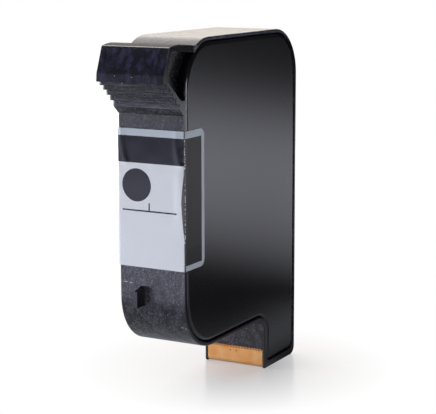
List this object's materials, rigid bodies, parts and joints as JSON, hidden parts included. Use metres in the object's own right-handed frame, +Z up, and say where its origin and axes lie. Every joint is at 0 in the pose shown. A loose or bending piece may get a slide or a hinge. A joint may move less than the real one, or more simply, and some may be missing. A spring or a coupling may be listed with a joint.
{
  "type": "inkjet ink cartridge",
  "caption": "Upright inkjet ink cartridge: slim moulded frame with steel side covers, stepped finger grip, and a print head snout at the lower rear",
  "frame": {"origin": "middle of the bounding box at the snout's underside, which is the lowest face", "axes": "+Z up the cartridge, +Y from the label and grip at the front to the contacts at the back, +X across its thickness"},
  "size_m": [0.0204, 0.0762, 0.0989],
  "materials": {
    "frame_plastic": "moulded black filled plastic, fine grain",
    "cover_paint": "satin black paint on sheet steel",
    "inner_plastic": "soft moulded plastic",
    "bag_film": "metallised barrier film",
    "guard_film": "clear polyester sheet",
    "plate_steel": "stainless sheet",
    "spring_steel": "stainless spring strip",
    "filter_mesh": "fine stainless mesh",
    "silicon": "sawn silicon chip",
    "nozzle_gold": "gold plating on electroformed nickel",
    "encapsulant": "cured epoxy bead",
    "flex_polyimide": "amber polyimide film",
    "bond_adhesive": "hot-melt adhesive sheet",
    "ball_steel": "polished stainless ball",
    "label_film": "printed film label, gloss varnish"
  },
  "bodies": {
    "root": {"outer_frame": "frame_plastic", "left_cover": "cover_paint", "right_cover": "cover_paint", "inner_frame": "inner_plastic", "left_film": "bag_film", "right_film": "bag_film", "left_edge_guard": "guard_film", "right_edge_guard": "guard_film", "left_pressure_plate": "plate_steel", "right_pressure_plate": "plate_steel", "bow_spring": "spring_steel", "left_filter_screen": "filter_mesh", "right_filter_screen": "filter_mesh", "print_head_die": "silicon", "nozzle_plate": "nozzle_gold", "front_seal_bead": "encapsulant", "rear_seal_bead": "encapsulant", "flex_circuit": "flex_polyimide", "flex_bond_film": "bond_adhesive", "fill_port_ball": "ball_steel", "front_label": "label_film"}
  },
  "joints": []
}
